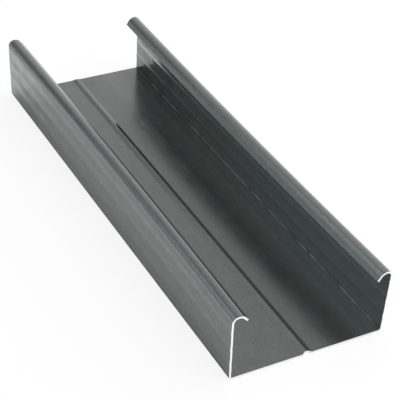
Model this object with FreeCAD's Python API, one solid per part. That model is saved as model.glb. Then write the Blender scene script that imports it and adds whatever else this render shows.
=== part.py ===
"""Ceiling channel: a short cut length of roll-formed C section, lying web down with its lips up.

Frame: X along the length, Y across the web, Z up. The origin is the middle of the web's underside.
Sizes are in millimetres and angles in degrees.
"""

import FreeCAD, Part
import math
import os

# The stock
length = 195.0
web_width = 60.0  # over the outer faces of the two walls
height = 26.3  # from the web's underside to the crest of the lips
sheet = 0.75  # thickness of the steel

# The bends, as radii on their inner side
corner_radius = 0.4
lip_crest_radius = 1.3
lip_nose_radius = 2.6

# The lips: rolled over the crest, sloping inwards and turned down at the nose
lip_fall = 15.0  # slope of the flat below level
lip_flat = 0.9
lip_nose_turn = 46.0
lip_tip = 1.0

# The rib along the middle of the web, raised into the channel
rib_width = 4.2
rib_height = 0.2

# The shallow beads along each wall, raised into the channel, as many as the wall has room for
bead_pitch = 6.6
bead_width = 3.0
bead_height = 0.15


def run(distance):
    """A straight step along the middle of the sheet."""
    return distance, 0.0


def bend(inner_radius, turn):
    """A curved step, given by the radius on the inner side of the bend; positive turns go left."""
    return math.radians(abs(turn)) * (inner_radius + sheet / 2), turn


def half_swage(width, rise):
    """The radius and turn of the two equal arcs that climb smoothly from the flat to a crest."""
    turn = 2 * math.degrees(math.atan2(rise, width / 2))
    middle_radius = width / 4 / math.sin(math.radians(turn))
    return middle_radius - sheet / 2, turn


def bead():
    """The steps over one wall bead, up from the land and down to it again."""
    radius, turn = half_swage(bead_width, bead_height)
    return [bend(radius, turn), bend(radius, -2 * turn), bend(radius, turn)]


def wall(flat):
    """The steps up one wall, with its beads centred on the flat between the two bends."""
    bead_count = int(flat // bead_pitch)
    land = bead_pitch - bead_width
    end_land = (flat - bead_count * bead_pitch + land) / 2
    steps = [run(end_land)]
    for number in range(bead_count):
        steps += bead() + [run(land if number < bead_count - 1 else end_land)]
    return steps


def half_section():
    """The steps from the crest of the rib, along the web, up one wall and over its lip."""
    rib_radius, rib_turn = half_swage(rib_width, rib_height)
    corner_set_back = corner_radius + sheet
    web_flat = web_width / 2 - rib_width / 2 - corner_set_back
    wall_flat = height - corner_set_back - (lip_crest_radius + sheet)

    steps = [bend(rib_radius, -rib_turn), bend(rib_radius, rib_turn), run(web_flat)]
    steps += [bend(corner_radius, 90.0)] + wall(wall_flat)
    steps += [bend(lip_crest_radius, 90.0 + lip_fall), run(lip_flat)]
    steps += [bend(lip_nose_radius, lip_nose_turn), run(lip_tip)]
    return steps


def advance(point, heading, distance, turn):
    """The point and heading after a step of the given length that turns evenly along its way."""
    chord = distance
    if turn:
        half_turn = math.radians(turn) / 2
        chord = distance * math.sin(half_turn) / half_turn
    direction = math.radians(heading + turn / 2)
    moved = point + FreeCAD.Vector(0, chord * math.cos(direction), chord * math.sin(direction))
    return moved, heading + turn


def beside(station, offset):
    """The point at an offset to the left of a station on the middle of the sheet."""
    point, heading = station
    left = math.radians(heading + 90.0)
    return point + FreeCAD.Vector(0, offset * math.cos(left), offset * math.sin(left))


def face_edge(start, middle, end, offset):
    """One face of the sheet over one step: an arc, or a line where the step is straight."""
    first, between, last = (beside(station, offset) for station in (start, middle, end))
    if start[1] == end[1]:
        return Part.LineSegment(first, last).toShape()
    return Part.Arc(first, between, last).toShape()


def section_wire():
    """The closed outline of the section at one end, mirrored about the middle of the web."""
    half_sheet = sheet / 2
    station = (FreeCAD.Vector(-length / 2, 0, half_sheet + rib_height), 0.0)
    edges = []
    for distance, turn in half_section():
        middle = advance(*station, distance / 2, turn / 2)
        end = advance(*station, distance, turn)
        edges += [face_edge(station, middle, end, offset) for offset in (half_sheet, -half_sheet)]
        station = end
    edges.append(Part.LineSegment(beside(station, half_sheet), beside(station, -half_sheet)).toShape())

    across = FreeCAD.Vector(0, 1, 0)
    edges += [edge.mirror(FreeCAD.Vector(), across) for edge in edges]
    return Part.Wire(Part.sortEdges(edges)[0])


def ceiling_channel():
    """The section drawn out over the whole length, as one solid with square cut ends."""
    drawn = Part.Face(section_wire()).extrude(FreeCAD.Vector(length, 0, 0))
    return drawn.removeSplitter()


os.makedirs("parts", exist_ok=True)
channel = ceiling_channel()
channel.exportStep("parts/ceiling_channel.step")
box = channel.BoundBox
print(f"ceiling_channel: {channel.ShapeType}, valid {channel.isValid()}, {len(channel.Faces)} faces")
print(f"  {box.XLength:.2f} x {box.YLength:.2f} x {box.ZLength:.2f} mm, {channel.Volume:.1f} cubic mm")
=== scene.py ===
# %% [markdown]
# # A cut length of ceiling channel
# The object is one strip of thin coated steel, roll-formed into a C: a wide web lies on the floor, two
# walls stand on it, and each wall ends in a lip that rolls inwards. A raised rib runs along the web and
# three shallow beads run along each wall. Its sizes could be typed in here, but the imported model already
# holds them, so the lesson starts by loading that model and keeping its box.

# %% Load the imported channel
import math

import bpy
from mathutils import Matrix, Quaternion, Vector


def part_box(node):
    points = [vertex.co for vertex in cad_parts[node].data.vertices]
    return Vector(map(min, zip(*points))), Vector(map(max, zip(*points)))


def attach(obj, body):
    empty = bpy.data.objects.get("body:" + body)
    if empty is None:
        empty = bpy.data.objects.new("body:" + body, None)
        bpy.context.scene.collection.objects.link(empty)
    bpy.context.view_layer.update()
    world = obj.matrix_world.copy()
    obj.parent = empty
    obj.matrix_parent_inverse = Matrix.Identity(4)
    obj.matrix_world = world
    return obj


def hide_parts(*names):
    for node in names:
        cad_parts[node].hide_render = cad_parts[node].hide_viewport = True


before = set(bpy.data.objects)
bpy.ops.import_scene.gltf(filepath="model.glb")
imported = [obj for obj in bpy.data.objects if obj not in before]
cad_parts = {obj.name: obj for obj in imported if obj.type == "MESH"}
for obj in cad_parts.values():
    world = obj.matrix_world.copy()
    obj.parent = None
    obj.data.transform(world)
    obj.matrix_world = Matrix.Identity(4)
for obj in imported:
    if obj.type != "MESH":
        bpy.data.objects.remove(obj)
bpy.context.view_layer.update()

mm = 0.001
channel_low, channel_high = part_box("ceiling_channel")
length, web_width, height = channel_high - channel_low
print(f"packed channel: {length / mm:.1f} x {web_width / mm:.1f} x {height / mm:.1f} mm")

# %% [markdown]
# ## Camera
# The picture looks down on the channel from the near left, with one end close to the lens. A camera could
# be turned by hand until the picture fits, but a view is easier to read, and to repeat, as a place and
# three angles: how far round the object the camera looks, how steeply it looks down, and how far it is
# rolled. The lens follows from how fast the walls seem to draw together.

# %% Camera
view_azimuth = math.radians(60.19)
view_elevation = math.radians(35.32)
view_roll = math.radians(3.757)
camera_place = Vector((365.43, -198.71, 295.18)) * mm
focal_length, film_width = 118.67, 36.0  # in millimetres, as Blender's cameras have them

lens = bpy.data.cameras.new("studio_lens")
lens.sensor_width = film_width
lens.lens = focal_length
camera = bpy.data.objects.new("studio_camera", lens)
bpy.context.scene.collection.objects.link(camera)
bpy.context.scene.camera = camera

backwards = Vector((
    math.sin(view_azimuth) * math.cos(view_elevation),
    -math.cos(view_azimuth) * math.cos(view_elevation),
    math.sin(view_elevation),
))
camera.location = camera_place
camera.rotation_mode = "QUATERNION"
camera.rotation_quaternion = (-backwards).to_track_quat("-Z", "Y") @ Quaternion((0, 0, 1), view_roll)
print(f"camera {camera_place.length / mm:.0f} mm from the origin, {lens.lens:.1f} mm lens")

# %% [markdown]
# ## The section, step by step
# A roll former bends a flat strip a little at each pair of rolls, so the section is a walk along the
# middle of the sheet: a straight run, a bend, another run. It could be drawn as a list of points, but a
# walk keeps every bend tangent to its runs and needs only the sizes that the rolls are set to. Each step
# is a pair: how far the walk goes and how far it turns on the way. The tightest bends are the two corners
# between web and wall.

# %% Sheet and corners
sheet = 0.75 * mm
corner_radius = 0.45 * mm
corner = corner_radius + sheet


def bend(inner_radius, turn):
    """A curved step, given by the radius on its inner side; positive turns go left."""
    return abs(turn) * (inner_radius + sheet / 2), turn


corner_bend = bend(corner_radius, math.pi / 2)
print(f"corner bend: {corner_bend[0] / mm:.2f} mm of sheet")

# %% [markdown]
# ## The rib
# A low rib along the middle keeps the web flat. It could be one smooth wave, but on the sample its flank
# shows as a crisp dark line, so each flank is a short straight slope between two small bends. The width,
# the slope and the bend radius are given, and the height follows from them.

# %% The rib
rib_width = 3.6 * mm
rib_slope = math.radians(12)
rib_radius = 0.9 * mm
rib_bends = 2 * (rib_radius + sheet / 2)
rib_flank = (rib_width / 2 - rib_bends * math.sin(rib_slope)) / math.cos(rib_slope)
rib_height = rib_bends * (1 - math.cos(rib_slope)) + rib_flank * math.sin(rib_slope)
rib_steps = [bend(rib_radius, -rib_slope), (rib_flank, 0.0), bend(rib_radius, rib_slope)]
print(f"rib: {rib_width / mm:.1f} mm wide, {rib_height / mm:.2f} mm high")

# %% [markdown]
# ## Two walls that aren't quite alike
# Three beads stiffen each wall, and the lip at the top is what a hanger grips. On the sample the left lip
# lies flatter and the right one falls further over a rounder nose, and the beads stand out of the left
# wall but into the channel on the right. One wall could be made and mirrored, but that would lose this,
# so each wall has its own sizes and the same functions walk both.

# %% Sizes of the walls
bead_pitch = 6.6 * mm
lowest_bead = 5.7 * mm
outwards, inwards = -1, 1
left_wall = {
    "bead_width": 3.2 * mm, "bead_heights": (0.08 * mm, 0.08 * mm, 0.08 * mm), "bead_side": outwards,
    "crest_radius": 1.7 * mm, "lip_fall": math.radians(9.0), "lip_flat": 0.4 * mm,
    "nose_radius": 2.2 * mm, "nose_turn": math.radians(38.7), "lip_tip": 1.75 * mm,
}
right_wall = {
    "bead_width": 2.4 * mm, "bead_heights": (0.12 * mm, 0.12 * mm, 0.02 * mm), "bead_side": inwards,
    "crest_radius": 1.6 * mm, "lip_fall": math.radians(16.0), "lip_flat": 0.1 * mm,
    "nose_radius": 2.9 * mm, "nose_turn": math.radians(43.0), "lip_tip": 1.6 * mm,
}
print("beads on each wall:", len(left_wall["bead_heights"]), len(right_wall["bead_heights"]))

# %% [markdown]
# ## Up a wall
# A bead is a shallow wave pressed along the wall. It could be three flat facets, but the rolls press it
# smooth, so it is three tangent arcs: away from the flat, over the crest and back. Only its width and its
# rise are given, and the arcs follow from them.

# %% Steps up a wall
def bead_bends(wall, rise):
    """The three curved steps over one bead: away from the flat, over the crest and back to the flat."""
    turn = 2 * math.atan2(rise, wall["bead_width"] / 2)
    inner_radius = wall["bead_width"] / 4 / math.sin(turn) - sheet / 2
    turn *= wall["bead_side"]
    return [bend(inner_radius, turn), bend(inner_radius, -2 * turn), bend(inner_radius, turn)]


def wall_steps(wall):
    """The steps up the flat of one wall, over its beads."""
    flat = height - corner - wall["crest_radius"] - sheet
    steps, reached = [], 0.0
    for number, rise in enumerate(wall["bead_heights"]):
        foot = lowest_bead + number * bead_pitch - wall["bead_width"] / 2
        steps += [(foot - reached, 0.0), *bead_bends(wall, rise)]
        reached = foot + wall["bead_width"]
    return steps + [(flat - reached, 0.0)]


print("steps up each wall:", len(wall_steps(left_wall)), len(wall_steps(right_wall)))

# %% [markdown]
# ## Over a lip
# The lip rolls over a round crest, slopes inwards and turns down at its nose. One half circle would be
# simpler, but the sample has a tight crest and a wider nose, so each bend is a step of its own.

# %% Steps over a lip
def lip_steps(wall):
    """The steps over the crest, down the slope of the lip and round its nose."""
    return [
        bend(wall["crest_radius"], math.pi / 2 + wall["lip_fall"]), (wall["lip_flat"], 0.0),
        bend(wall["nose_radius"], wall["nose_turn"]), (wall["lip_tip"], 0.0),
    ]


for name, wall in {"left": left_wall, "right": right_wall}.items():
    print(f"{name} lip: {sum(distance for distance, _ in lip_steps(wall)) / mm:.1f} mm of sheet")

# %% [markdown]
# ## Walk the section
# The walk starts on the crest of the rib and goes outwards once for each side; the left half is then
# mirrored and the two are joined. A bend is divided by angle and a straight run by distance, so that a
# reflection slides evenly over both. One number for everything would leave the small bends coarse or the
# flats crowded.

# %% Walk both halves
finest_turn = math.radians(3)
longest_run = 1.2 * mm
web_flat = web_width / 2 - rib_width / 2 - corner


def walk(wall):
    """Points (across, up) along the middle of the sheet, from the crest of the rib to the tip of a lip."""
    across, up, heading = 0.0, sheet / 2 + rib_height, 0.0
    points = [(across, up)]
    for distance, turn in [*rib_steps, (web_flat, 0.0), corner_bend, *wall_steps(wall), *lip_steps(wall)]:
        pieces = math.ceil(max(abs(turn) / finest_turn, 1 if turn else distance / longest_run))
        half_turn = turn / pieces / 2
        chord = distance / pieces * (math.sin(half_turn) / half_turn if turn else 1)
        for _ in range(pieces):
            heading += half_turn
            across += chord * math.cos(heading)
            up += chord * math.sin(heading)
            heading += half_turn
            points.append((across, up))
    return points


left_half = [(-across, up) for across, up in walk(left_wall)]
middle_line = left_half[:0:-1] + walk(right_wall)
strip_width = sum(math.dist(a, b) for a, b in zip(middle_line, middle_line[1:]))
print(f"section: {len(middle_line)} points, from a flat strip {strip_width / mm:.1f} mm wide")

# %% [markdown]
# ## Painted sheen and painted shade
# Bands of painted light run along the channel: the crest of the right lip, a strip of the web and one
# flank of a bead on the right wall get a painted sheen, and the slope of the right lip and the crown of
# the left one get painted shade. The walls are also scuffed. Such bands could be painted on an image, but
# that needs unwrapping. They all run along the length, so each is a function of a point of the section
# instead, and the sweep will carry it along the whole channel.

# %% Painted sheen, painted shade and scuffed bands
def hump(value, band):
    """0 outside the band and 1 in the middle of it, in a smooth hump."""
    low, high = band
    return math.sin(math.pi * (value - low) / (high - low)) if low < value < high else 0.0


wall_face = web_width / 2
lip_from = 0.8 * height
lip_band = wall_face - 4.3 * mm, wall_face - 1.1 * mm
nose_band = wall_face - 5.2 * mm, wall_face - 3.4 * mm
web_band = wall_face - 20.0 * mm, wall_face - 9.0 * mm
crown_band = height - 5.3 * mm, height - 0.3 * mm
flank_band = 13.3 * mm, 15.3 * mm
scuffed_band = 1.0 * mm, height - 2.3 * mm
scuff_flatness = 0.25  # a power that gives the hump a flat top
# Painted sheen (above 0) and painted shade (below 0) on the coating's colour, in shares of its shade
painted_lip_sheen, painted_nose_shade, painted_web_sheen, painted_flank_sheen, painted_crown_shade = 0.36, 0.16, 0.12, 0.22, 0.15


def rub(across, up):
    """Painted light on the coating: above 0 is a painted sheen, below 0 is painted shade."""
    if across < 0:
        return -painted_crown_shade * hump(up, crown_band)
    if up > lip_from:
        return painted_lip_sheen * hump(across, lip_band) - painted_nose_shade * hump(across, nose_band)
    return painted_web_sheen * hump(across, web_band) + painted_flank_sheen * hump(up, flank_band)


def scuff(across, up):
    """How open a point is to scuffing: about 1 on the flats of the walls, 0 on the web and the crests."""
    return hump(up, scuffed_band) ** scuff_flatness


rubs = [rub(*place) for place in middle_line]
print(f"painted_light_levels: from {min(rubs):.2f} to {max(rubs):.2f} of the coating's own shade")

# %% [markdown]
# ## Smooth rolled bands and painted light on the beads and corners
# The rolls press hardest on the rib and in the corners and leave the coating smoother there. The tight
# corners are darkened in patches, a painted shade, the left wall has painted reflections along its beads,
# and the right wall has painted shade but for painted highlights on the upper flanks of its two lower
# beads. These marks follow the same section, so they are functions of it too.

# %% Burnished bands, corner bends and painted bead light
# Painted reflections along the left wall's beads; painted shade and two painted highlights on the right
# wall
painted_band_shift = 0.3 * mm
first_painted_band, last_painted_band = -0.5, 2.75
near_wall = 0.4 * web_width
painted_shade_below = 0.85 * height
painted_wall_shade, painted_flank_highlight = 1.3, 2.6
lower_flank_band = 7.0 * mm, 9.2 * mm


def crease(across, up):
    """1 in the tight corner bends, and 0 elsewhere."""
    return 1.0 if abs(across) > wall_face - corner and up < corner else 0.0


def burnish(across, up):
    """1 where the rolls press hardest, on the rib and in the corners, and 0 elsewhere."""
    return 1.0 if abs(across) < rib_width / 2 else crease(across, up)


def painted_bead_light(across, up):
    """Left wall: painted reflection, 1 above each bead and -1 below it; right wall: painted shade, two
    painted highlights.
    """
    if across > near_wall:
        flanks = hump(up, lower_flank_band) + hump(up, flank_band)
        return painted_flank_highlight * flanks - painted_wall_shade if corner < up < painted_shade_below else 0.0
    beads_up = (up - corner - lowest_bead + painted_band_shift) / bead_pitch
    on_left_wall = across < -near_wall and first_painted_band < beads_up < last_painted_band
    return math.sin(2 * math.pi * beads_up) if on_left_wall else 0.0


print("points in the corner bends:", sum(crease(*place) > 0 for place in middle_line))

# %% [markdown]
# ## Node helpers
# The channel will be a Geometry Nodes tree, and its finishes and the light are shader trees. Nodes could
# be made one line at a time, but a tree is easier to read when one short call makes a node, sets its
# options and links its inputs, so that is all these helpers do.

# %% Node helpers
def add(tree, kind, inputs=None, **options):
    """A node of that kind; inputs maps a socket's name or number to a value or to another node's socket."""
    node = tree.nodes.new(kind)
    for name, value in options.items():
        setattr(node, name, value)
    for key, value in (inputs or {}).items():
        if isinstance(value, bpy.types.NodeSocket):
            tree.links.new(value, node.inputs[key])
        else:
            node.inputs[key].default_value = value
    return node


def calc(tree, operation, *values):
    """The result of one arithmetic step on numbers or sockets."""
    return add(tree, "ShaderNodeMath", dict(enumerate(values)), operation=operation).outputs[0]


def product(tree, first, *others):
    """Several numbers or sockets multiplied together."""
    for other in others:
        first = calc(tree, "MULTIPLY", first, other)
    return first


def ramp(tree, value, start, end, before=0.0, after=1.0, ease="SMOOTHSTEP"):
    """A level that goes from before to after while value goes from start to end."""
    return add(tree, "ShaderNodeMapRange", {
        "Value": value, "From Min": start, "From Max": end, "To Min": before, "To Max": after,
    }, interpolation_type=ease).outputs[0]


print("helpers:", ", ".join(helper.__name__ for helper in (add, calc, product, ramp)))

# %% [markdown]
# ## Finishes
# Each finish is a Principled shader whose colour and roughness wander a little, because no real coating
# is one flat colour. An image could give that, but noise on Object coordinates needs no unwrapping, has
# no seams and stays on the piece when it is moved.

# %% Helpers for the finishes
def new_finish(name):
    """A material, its tree and its surface shader."""
    material = bpy.data.materials.new(name)
    material.use_nodes = True
    tree = material.node_tree
    tree.nodes.clear()
    surface = add(tree, "ShaderNodeBsdfPrincipled")
    add(tree, "ShaderNodeOutputMaterial", {"Surface": surface.outputs[0]})
    return material, tree, surface


def stretched(tree, place, share):
    """Places with the length shortened to a share, which draws a pattern out along the channel."""
    return add(tree, "ShaderNodeMapping", {"Vector": place, "Scale": (share, 1, 1)}).outputs[0]


def noise(tree, place, per_metre, detail):
    """A level that wanders over the surface, so many times to the metre."""
    settings = {"Vector": place, "Scale": per_metre, "Detail": detail}
    return add(tree, "ShaderNodeTexNoise", settings).outputs[0]


usual_noise = 0.3, 0.7


def spread(tree, level, low, high):
    """A noise level, which seldom leaves its usual range, spread out from low to high."""
    return ramp(tree, level, *usual_noise, low, high, "LINEAR")


print("noise is spread out from its usual range, {} to {}".format(*usual_noise))

# %% [markdown]
# ## Coated steel: colour
# The strip is coated before it is rolled, so nearly all of the surface is one dark grey-green, half-gloss
# skin that mirrors what stands near it. Paint would be a coloured diffuse surface, but the sample shows
# its surroundings as a dull mirror does, so this is a dark metal: its colour is the share of light that
# it sends back. Fine lines along the rolling direction, soft clouds and a fine grain vary it.

# %% Coated steel: colour
coat_colour = (0.249, 0.268, 0.264)
metal_share = 0.94
line_draw = 0.012
lines_per_metre, clouds_per_metre, grains_per_metre = 900, 130, 1500
line_depth, cloud_depth, grain_depth = 0.02, 0.03, 0.13
coated_steel, coat, coat_surface = new_finish("coated_steel")
coat_surface.inputs["Metallic"].default_value = metal_share
coat_place = add(coat, "ShaderNodeTexCoord").outputs["Object"]
lines = noise(coat, stretched(coat, coat_place, line_draw), lines_per_metre, 3)
clouds = noise(coat, coat_place, clouds_per_metre, 4)
grain = noise(coat, coat_place, grains_per_metre, 2)
shade = spread(coat, lines, -line_depth, line_depth)
shade = calc(coat, "ADD", shade, spread(coat, clouds, -cloud_depth, cloud_depth))
shade = calc(coat, "ADD", shade, spread(coat, grain, -grain_depth, grain_depth))
print(f"coated_steel: plain shade from {len(coat.nodes)} nodes")

# %% [markdown]
# ## Coated steel: marks and painted light
# The bands on the section reach the shader as attributes. The painted sheen and shade act alike along the
# whole length. The scuffs are strong at the far end, where the sample is more worn, and so is the painted
# bead light; both fade towards the near one, so they are multiplied by a depth that follows X. In the
# corners the painted shade comes in patches from a noise of its own, and grows towards the far end.

# %% Coated steel: marks
def mark(name):
    """The value of one of the section's marks at this point of the coating."""
    return add(coat, "ShaderNodeAttribute", attribute_name=name).outputs["Fac"]


# The depth fades the painted bead light, the scuffs and the painted corner shade from the far end to the
# near one
far_marks_until, near_marks_from = -90 * mm, -30 * mm
far_marks_depth, near_marks_depth = 0.24, 0.05
scuff_draw, scuffs_per_metre, scuff_contrast = 0.35, 420, 0.9
patches_per_metre, darkest_painted_patch, lightest_painted_patch = 220, -0.52, 0.13
painted_corner_fade = -0.8
along_channel = add(coat, "ShaderNodeSeparateXYZ", {0: coat_place}).outputs["X"]
depth = ramp(coat, along_channel, far_marks_until, near_marks_from, far_marks_depth, near_marks_depth)
scuffs = noise(coat, stretched(coat, coat_place, scuff_draw), scuffs_per_metre, 4)
scuffs = spread(coat, scuffs, -scuff_contrast, scuff_contrast)
patches = spread(coat, noise(coat, coat_place, patches_per_metre, 2), darkest_painted_patch, lightest_painted_patch)
# Painted shade in the corner bends: patches of noise, darker towards the far end
painted_corner_shade = calc(coat, "MULTIPLY_ADD", depth, painted_corner_fade, patches)

# Painted sheen and shade, painted bead light, scuffs and painted corner shade change the coating's shade
shade = calc(coat, "ADD", calc(coat, "ADD", shade, mark("rub")), 1.0)
shade = calc(coat, "MULTIPLY_ADD", mark("painted_bead_light"), depth, shade)
shade = calc(coat, "MULTIPLY_ADD", product(coat, scuffs, mark("scuff")), depth, shade)
shade = calc(coat, "MULTIPLY_ADD", mark("crease"), painted_corner_shade, shade)
colour = add(coat, "ShaderNodeVectorMath", {0: coat_colour, "Scale": shade}, operation="SCALE").outputs[0]
coat.links.new(colour, coat_surface.inputs["Base Color"])
print(f"coated_steel: colour with its marks from {len(coat.nodes)} nodes")

# %% [markdown]
# ## Coated steel: gloss and relief
# Roughness decides how sharp the mirrored room is: the coating blurs it, and the burnished rib and
# corners blur it less. The skin also has the faint waviness of a coating that flowed before it set, a few
# thousandths of a millimetre deep, which is too fine for the mesh and therefore a bump.

# %% Coated steel: gloss and relief
smoothest, roughest, cloud_blur = 0.22, 0.26, 0.02
burnish_gain = -0.14
flow_per_metre, flow_relief = 700, 0.006 * mm
gloss = spread(coat, clouds, -cloud_blur, cloud_blur)
gloss = calc(coat, "ADD", spread(coat, lines, smoothest, roughest), gloss)
gloss = calc(coat, "MULTIPLY_ADD", mark("burnish"), burnish_gain, gloss)
coat.links.new(gloss, coat_surface.inputs["Roughness"])
flow = add(coat, "ShaderNodeBump", {
    "Height": noise(coat, coat_place, flow_per_metre, 2), "Strength": 1.0, "Distance": flow_relief,
})
coat.links.new(flow.outputs[0], coat_surface.inputs["Normal"])
print(f"coated_steel: {len(coat.nodes)} nodes in all")

# %% [markdown]
# ## Bare steel at the cut
# A saw leaves bright, bare steel on the cut ends, which is the thin white line round the near end. It
# could be a white emission, but that would glow in the dark, so it is a clean metal, rougher than the
# coating, with fine marks that vary it.

# %% Bare steel at the cut
saw_draw, saw_marks_per_metre = 0.2, 2500
dull_cut, bright_cut = (0.96, 0.96, 0.96, 1), (1, 1, 1, 1)
cut_roughness = 0.35, 0.5
cut_steel, cut, cut_surface = new_finish("cut_steel")
cut_surface.inputs["Metallic"].default_value = 1.0
cut_place = add(cut, "ShaderNodeTexCoord").outputs["Object"]
saw_marks = noise(cut, stretched(cut, cut_place, saw_draw), saw_marks_per_metre, 2)
bright = add(cut, "ShaderNodeMix", {
    "Factor": saw_marks, "A": dull_cut, "B": bright_cut,
}, data_type="RGBA").outputs["Result"]
cut.links.new(bright, cut_surface.inputs["Base Color"])
cut.links.new(spread(cut, saw_marks, *cut_roughness), cut_surface.inputs["Roughness"])
print(f"cut_steel: {len(cut.nodes)} nodes")

# %% [markdown]
# ## Rolling the channel
# The shape follows a rule: one section drawn out along the length. A mesh could be stretched by hand, but
# a Geometry Nodes tree says the rule itself, with the sizes as its named inputs. The tree makes the
# middle of the sheet, leans the walls, nicks the near end and thickens the sheet.

# %% Inputs of the tree
rolling = bpy.data.node_groups.new("roll_formed_channel", "GeometryNodeTree")
rolling.interface.new_socket("Geometry", in_out="INPUT", socket_type="NodeSocketGeometry")
rolling.interface.new_socket("Geometry", in_out="OUTPUT", socket_type="NodeSocketGeometry")
lean_names = [f"{wall} Lean {place}" for wall in ("Left", "Right") for place in ("Near", "Middle", "Far")]
special_kinds = {"Stations": "Int", "Coated": "Material", "Cut": "Material"}
sockets = {}
for name in ["Length", "Stations", "Sheet", "Web Width", "Corner", *lean_names,
             "Nick Depth", "Nick Width", "Coated", "Cut"]:
    kind = special_kinds.get(name, "Float")
    socket = rolling.interface.new_socket(name, in_out="INPUT", socket_type=f"NodeSocket{kind}")
    sockets[name] = socket.identifier
given = add(rolling, "NodeGroupInput").outputs
print(f"tree inputs: {len(sockets)}")

# %% [markdown]
# ## Draw the section out
# The section line becomes a profile curve and a straight line along X becomes its path, cut into stations
# so that the walls can bend a little between the two ends. Curve to Mesh sweeps one along the other and
# carries the marks with it.

# %% Draw the section out
half_length = product(rolling, given["Length"], 0.5)
far_end = add(rolling, "ShaderNodeCombineXYZ", {"X": product(rolling, half_length, -1.0)}).outputs[0]
near_end = add(rolling, "ShaderNodeCombineXYZ", {"X": half_length}).outputs[0]
line = add(rolling, "GeometryNodeCurvePrimitiveLine", {"Start": far_end, "End": near_end}).outputs[0]
path = add(rolling, "GeometryNodeResampleCurve", {"Curve": line, "Count": given["Stations"]}).outputs[0]
profile = add(rolling, "GeometryNodeMeshToCurve", {"Mesh": given["Geometry"]}).outputs[0]
middle = add(rolling, "GeometryNodeCurveToMesh", {"Curve": path, "Profile Curve": profile}).outputs[0]
print(f"sweep: {len(rolling.nodes)} nodes so far")

# %% [markdown]
# ## Walls that spring
# Rolled steel keeps some spring, and a cut lets it go: the walls of the sample lean differently at the
# ends and in the middle. The lean could be one number for each wall, but then the lips would be straight
# where the sample's aren't, so it is a parabola through the values at the far end, the middle and the
# near end.

# %% Lean along the length
position = add(rolling, "GeometryNodeInputPosition").outputs[0]
point = add(rolling, "ShaderNodeSeparateXYZ", {0: position}).outputs
along = calc(rolling, "ADD", calc(rolling, "DIVIDE", point["X"], given["Length"]), 0.5)
past_middle = calc(rolling, "SUBTRACT", along, 0.5)
to_near_end = calc(rolling, "SUBTRACT", 1.0, along)
shares = {
    "Far": product(rolling, past_middle, -2.0, to_near_end),
    "Middle": product(rolling, along, 4.0, to_near_end),
    "Near": product(rolling, along, 2.0, past_middle),
}


def lean_of(wall):
    """The lean of one wall at this place along the length, in radians."""
    lean = 0.0
    for place, share in shares.items():
        lean = calc(rolling, "MULTIPLY_ADD", share, given[f"{wall} Lean {place}"], lean)
    return lean


on_right = calc(rolling, "GREATER_THAN", point["Y"], 0.0)
lean = add(rolling, "GeometryNodeSwitch", {
    "Switch": on_right, "False": lean_of("Left"), "True": lean_of("Right"),
}, input_type="FLOAT").outputs[0]
print(f"lean: {len(rolling.nodes)} nodes so far")

# %% [markdown]
# ## Turn each wall about its corner
# A wall leans by turning about the centre of its corner bend, so the turn starts at nothing on the web
# and is complete where the bend ends. The rib also rises above the web, so points near the middle are
# left alone.

# %% Turn each wall about its corner
rib_zone = 0.25  # of the web's width, to each side of the middle
side = calc(rolling, "SIGN", point["Y"])
half_sheet = product(rolling, given["Sheet"], 0.5)
above_web = ramp(rolling, point["Z"], half_sheet, given["Corner"])
off_middle = calc(rolling, "ABSOLUTE", point["Y"])
by_wall = calc(rolling, "GREATER_THAN", off_middle, product(rolling, given["Web Width"], rib_zone))
turn = product(rolling, lean, above_web, by_wall, side, -1.0)
bend_across = calc(rolling, "SUBTRACT", product(rolling, given["Web Width"], 0.5), given["Corner"])
bend_centre = add(rolling, "ShaderNodeCombineXYZ", {
    "X": point["X"], "Y": product(rolling, bend_across, side), "Z": given["Corner"],
}).outputs[0]
leaned = add(rolling, "ShaderNodeVectorRotate", {
    "Vector": position, "Center": bend_centre, "Angle": turn,
}, rotation_type="X_AXIS").outputs[0]
print(f"walls: {len(rolling.nodes)} nodes so far")

# %% [markdown]
# ## A nick at the rib
# Where the blade met the rib it bit a little deeper, and the near end has a small round nick there. It
# could be cut with a Boolean, but only the last row of points has to move, back by a parabola across the
# rib.

# %% A nick at the rib
almost_all = 0.999
last_row = calc(rolling, "GREATER_THAN", along, almost_all)
off_rib = calc(rolling, "DIVIDE", point["Y"], product(rolling, given["Nick Width"], 0.5))
bite = calc(rolling, "SUBTRACT", 1.0, product(rolling, off_rib, off_rib))
bite = product(rolling, calc(rolling, "MAXIMUM", bite, 0.0), last_row, given["Nick Depth"], -1.0)
nick = add(rolling, "ShaderNodeCombineXYZ", {"X": bite}).outputs[0]
middle = add(rolling, "GeometryNodeSetPosition", {
    "Geometry": middle, "Position": leaned, "Offset": nick,
}).outputs[0]
print(f"nick: {len(rolling.nodes)} nodes so far")

# %% [markdown]
# ## Give the sheet its thickness
# Solidify would thicken the sheet too, but Extrude Mesh also tells which faces it made along the border,
# and those are the cut faces. The sheet is first moved back by half its thickness, so that the walked
# line stays in the middle. The extruded skin is the inner one, and the sheet itself, turned over, is the
# outer one.

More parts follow.
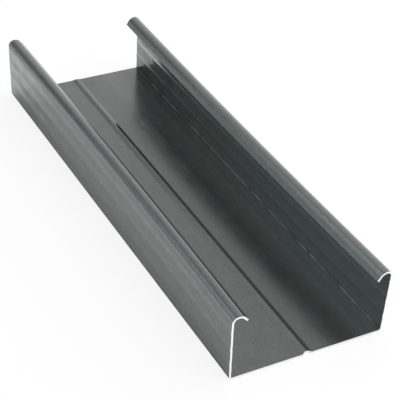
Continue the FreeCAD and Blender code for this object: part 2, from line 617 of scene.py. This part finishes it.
# %% Give the sheet its thickness
normal = add(rolling, "GeometryNodeInputNormal").outputs[0]
half_back = add(rolling, "ShaderNodeVectorMath", {
    0: normal, "Scale": product(rolling, half_sheet, -1.0),
}, operation="SCALE").outputs[0]
outer = add(rolling, "GeometryNodeSetPosition", {"Geometry": middle, "Offset": half_back}).outputs[0]
raised = add(rolling, "GeometryNodeExtrudeMesh", {
    "Mesh": outer, "Offset Scale": given["Sheet"], "Individual": False,
}, mode="FACES").outputs
inner_skin = add(rolling, "GeometryNodeStoreNamedAttribute", {
    "Geometry": raised["Mesh"], "Name": "cut_face", "Value": raised["Side"],
}, data_type="BOOLEAN", domain="FACE").outputs[0]
outer_skin = add(rolling, "GeometryNodeFlipFaces", {"Mesh": outer}).outputs[0]
shell = add(rolling, "GeometryNodeJoinGeometry")
for skin in (inner_skin, outer_skin):
    rolling.links.new(skin, shell.inputs[0])
print(f"thickness: {len(rolling.nodes)} nodes so far")

# %% [markdown]
# ## Close the shell and cover it
# The two skins meet along the border, where their points are welded. Then the shell is shaded smooth and
# takes its two finishes: the coating all over, and bare steel on the cut faces.

# %% Close the shell and cover it
weld = 0.001 * mm
closed = add(rolling, "GeometryNodeMergeByDistance", {
    "Geometry": shell.outputs[0], "Distance": weld,
}).outputs[0]
smooth = add(rolling, "GeometryNodeSetShadeSmooth", {"Geometry": closed}).outputs[0]
plain = add(rolling, "GeometryNodeRealizeInstances", {"Geometry": smooth}).outputs[0]
coated = add(rolling, "GeometryNodeSetMaterial", {
    "Geometry": plain, "Material": given["Coated"],
}).outputs[0]
is_cut = add(rolling, "GeometryNodeInputNamedAttribute", {
    "Name": "cut_face",
}, data_type="BOOLEAN").outputs[0]
finished = add(rolling, "GeometryNodeSetMaterial", {
    "Geometry": coated, "Selection": is_cut, "Material": given["Cut"],
}).outputs[0]
add(rolling, "NodeGroupOutput", {0: finished})
print(f"channel tree: {len(rolling.nodes)} nodes in all")

# %% [markdown]
# ## Feed the strip
# The section goes in as a chain of edges with its marks on the points. A sweep along X lays the profile's
# own X along minus Y and its Y along minus Z, so the points go in with both signs changed.

# %% Feed the strip
section_line = bpy.data.meshes.new("section_line")
edges = [(number, number + 1) for number in range(len(middle_line) - 1)]
section_line.from_pydata([(-across, -up, 0) for across, up in middle_line], edges, [])
for section_mark in (rub, scuff, crease, burnish, painted_bead_light):
    values = section_line.attributes.new(section_mark.__name__, "FLOAT", "POINT")
    values.data.foreach_set("value", [section_mark(*place) for place in middle_line])
roller = bpy.data.objects.new("roller", section_line)
bpy.context.scene.collection.objects.link(roller)
print(f"section line: {len(edges)} edges, {len(section_line.attributes)} attributes")

# %% [markdown]
# ## Set the rolls
# A modifier runs the tree. Its sizes and leans are set by each socket's identifier, because names may
# repeat, and before the tree first runs. Plus is a lean out of the channel, in degrees.

# %% Set the rolls
lean_degrees = {
    "Left Lean Near": 1.5, "Left Lean Middle": -0.5, "Left Lean Far": 1.6,
    "Right Lean Near": 1.68, "Right Lean Middle": -1.64, "Right Lean Far": -0.42,
}
settings = {
    "Length": length, "Stations": 60, "Sheet": sheet, "Web Width": web_width, "Corner": corner,
    "Nick Depth": 0.8 * mm, "Nick Width": 3.4 * mm, "Coated": coated_steel, "Cut": cut_steel,
    **{name: math.radians(degrees) for name, degrees in lean_degrees.items()},
}
rolled = roller.modifiers.new("roll", "NODES")
rolled.node_group = rolling
for name, value in settings.items():
    rolled[sockets[name]] = value
print(f"rolls set: {len(settings)} inputs")

# %% [markdown]
# ## Keep a plain mesh
# The result is kept as a plain mesh, so that nothing is left to compute when the channel is moved or
# exported. The first material slot is the section line's empty one and goes. Shading breaks only where
# faces meet at more than the sharp angle, which is along the cut edges.

# %% Keep a plain mesh
sharp_angle = math.radians(40)
evaluated = roller.evaluated_get(bpy.context.evaluated_depsgraph_get())
mesh = bpy.data.meshes.new_from_object(evaluated)
bpy.data.objects.remove(roller)
mesh.name = "rolled_channel"
mesh.materials.pop(index=0)
mesh.set_sharp_from_angle(angle=sharp_angle)
channel = bpy.data.objects.new("rolled_channel", mesh)
bpy.context.scene.collection.objects.link(channel)
print(f"rolled_channel: {len(mesh.polygons)} faces, materials {[finish.name for finish in mesh.materials]}")

# %% [markdown]
# ## Worn cut edges
# No cut edge is a knife edge: the coating is chipped back a little along it, and bare steel shows. The
# edge could be left sharp, but then it would catch no light, so a narrow Bevel with the cut's own finish
# goes there.

# %% Worn cut edges
worn = channel.modifiers.new("worn_cut_edges", "BEVEL")
worn.width = 0.1 * mm
worn.segments = 2
worn.limit_method = "ANGLE"
worn.angle_limit = math.radians(60)
worn.material = mesh.materials.find(cut_steel.name)
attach(channel, "root")
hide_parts("ceiling_channel")
print(f"cut edges worn back by {worn.width / mm:.2f} mm")

# %% [markdown]
# ## Floor
# The channel lies on a plain floor, big enough to fill the picture and every reflection. A backdrop that
# curves up would do as well, but the world is already pale, so a flat square is enough. It lies a hair
# below the web, because two faces in one plane flicker.

# %% Floor
floor_reach = 3.0
floor_drop = 0.02 * mm
floor_mesh = bpy.data.meshes.new("floor")
corners = [(x * floor_reach, y * floor_reach, -floor_drop) for x, y in ((-1, -1), (1, -1), (1, 1), (-1, 1))]
floor_mesh.from_pydata(corners, [], [(0, 1, 2, 3)])
floor = bpy.data.objects.new("floor", floor_mesh)
bpy.context.scene.collection.objects.link(floor)
print(f"floor: {2 * floor_reach:.0f} m square, {floor_drop / mm:.2f} mm below the web")

# %% [markdown]
# ## The floor's white
# More light would make the floor white, but it would wash out the channel as well. So the floor shows the
# camera mostly its own white and keeps just enough of the lit surface for a soft shadow, and mirrors get
# a little of the same white.

# %% The floor's white
seen_white, mirrored_white = 0.88, 0.15
floor_colour = (0.9, 0.9, 0.9, 1)
floor_white, ground, ground_surface = new_finish("floor_white")
ground_surface.inputs["Base Color"].default_value = floor_colour
ground_surface.inputs["Roughness"].default_value = 1.0
ground_surface.inputs["Specular IOR Level"].default_value = 0.0
ray = add(ground, "ShaderNodeLightPath").outputs
mirrored = calc(ground, "MAXIMUM", ray["Is Glossy Ray"], ray["Is Transmission Ray"])
own_white = product(ground, mirrored, mirrored_white)
own_white = calc(ground, "MULTIPLY_ADD", ray["Is Camera Ray"], seen_white, own_white)
glow = add(ground, "ShaderNodeEmission", {"Color": (1, 1, 1, 1), "Strength": 1.0}).outputs[0]
whitened = add(ground, "ShaderNodeMixShader", {
    0: own_white, 1: ground_surface.outputs[0], 2: glow,
}).outputs[0]
ground.links.new(whitened, ground.nodes["Material Output"].inputs["Surface"])
floor_mesh.materials.append(floor_white)
print(f"floor_white: {len(ground.nodes)} nodes")

# %% [markdown]
# ## The tent on the right
# A dull mirror is mostly a picture of the room, so the light is a tent round the channel, painted on the
# world by direction. Lamps and cards could stand for it, but a graded world has no edges that show up in
# the bends. On the right the cloth is brightest low down, dims towards half its height and is a middle
# grey above.

# %% The tent on the right
world = bpy.data.worlds.new("studio_tent")
bpy.context.scene.world = world
world.use_nodes = True
tent = world.node_tree
direction = add(tent, "ShaderNodeTexCoord").outputs["Generated"]
aim = add(tent, "ShaderNodeSeparateXYZ", {0: direction}).outputs
right_levels = {
    0.0: 0.95, 0.2: 0.84, 0.4: 0.74, 0.49: 0.69, 0.545: 0.56, 0.6: 0.43, 0.66: 0.40, 0.74: 0.53, 1.0: 0.6,
}
right_cloth = add(tent, "ShaderNodeValToRGB", {"Fac": aim["Z"]})
stops = right_cloth.color_ramp.elements
for rise, level in right_levels.items():
    stop = {0.0: stops[0], 1.0: stops[-1]}.get(rise) or stops.new(rise)
    stop.color = (level, level, level, 1)
print(f"right side of the tent: {len(stops)} levels from the floor up")

# %% [markdown]
# ## The tent on the left
# The right wall looks to the left and to the far end, where the sample mirrors a dark gap, and the web
# mirrors that wall: this is the dark half of the channel. So the left cloth falls to nothing towards the
# far end, is an even grey overhead, and is a plain grey low down.

# %% The tent on the left
gap_level, cloth_level, overhead_level, low_level = 0.0, 0.92, 0.36, 0.52
gap_until, cloth_from = -0.755, -0.685
side_until, overhead_from = -0.38, -0.28
low_until, high_from = 0.2, 0.55
left_until, right_from = -0.25, 0.25


def blend(share, first, second):
    """A level between first, where share is 0, and second, where it is 1."""
    return add(tent, "ShaderNodeMix", {"Factor": share, "A": first, "B": second}).outputs[0]


left_cloth = ramp(tent, aim["X"], gap_until, cloth_from, gap_level, cloth_level, "LINEAR")
left_cloth = blend(ramp(tent, aim["Y"], side_until, overhead_from), left_cloth, overhead_level)
left_cloth = blend(ramp(tent, aim["Z"], low_until, high_from), low_level, left_cloth)
to_right = ramp(tent, aim["Y"], left_until, right_from)
cloth = blend(to_right, left_cloth, right_cloth.outputs["Color"])
print(f"left side of the tent: {gap_level} in the gap, {cloth_level} beside it, {overhead_level} overhead")

# %% [markdown]
# ## Soft light
# Mirrored rays see the tent. What the floor and the coating scatter comes from one broad soft light on
# the right, which also lays the faint shadow to the left. The left cloth has a slight cool tint. The
# Standard view transform shows each level as it is written.

# %% Soft light
dim_side, lit_side = 0.15, 2.1
dim_until, lit_from = -0.6, 0.6
cool_tint = (0.95, 1, 1, 1)
soft_light = ramp(tent, aim["Y"], dim_until, lit_from, dim_side, lit_side)
ray = add(tent, "ShaderNodeLightPath").outputs
seen = calc(tent, "MAXIMUM", ray["Is Camera Ray"], ray["Is Glossy Ray"])
seen = calc(tent, "MAXIMUM", seen, ray["Is Transmission Ray"])
cool_share = product(tent, seen, calc(tent, "SUBTRACT", 1.0, to_right))
tint = add(tent, "ShaderNodeMix", {
    "Factor": cool_share, "A": (1, 1, 1, 1), "B": cool_tint,
}, data_type="RGBA").outputs["Result"]
background = tent.nodes["Background"].inputs
tent.links.new(blend(seen, soft_light, cloth), background["Strength"])
tent.links.new(tint, background["Color"])
bpy.context.scene.view_settings.view_transform = "Standard"
print(f"light: {dim_side} on the left to {lit_side} on the right, {len(tent.nodes)} nodes")
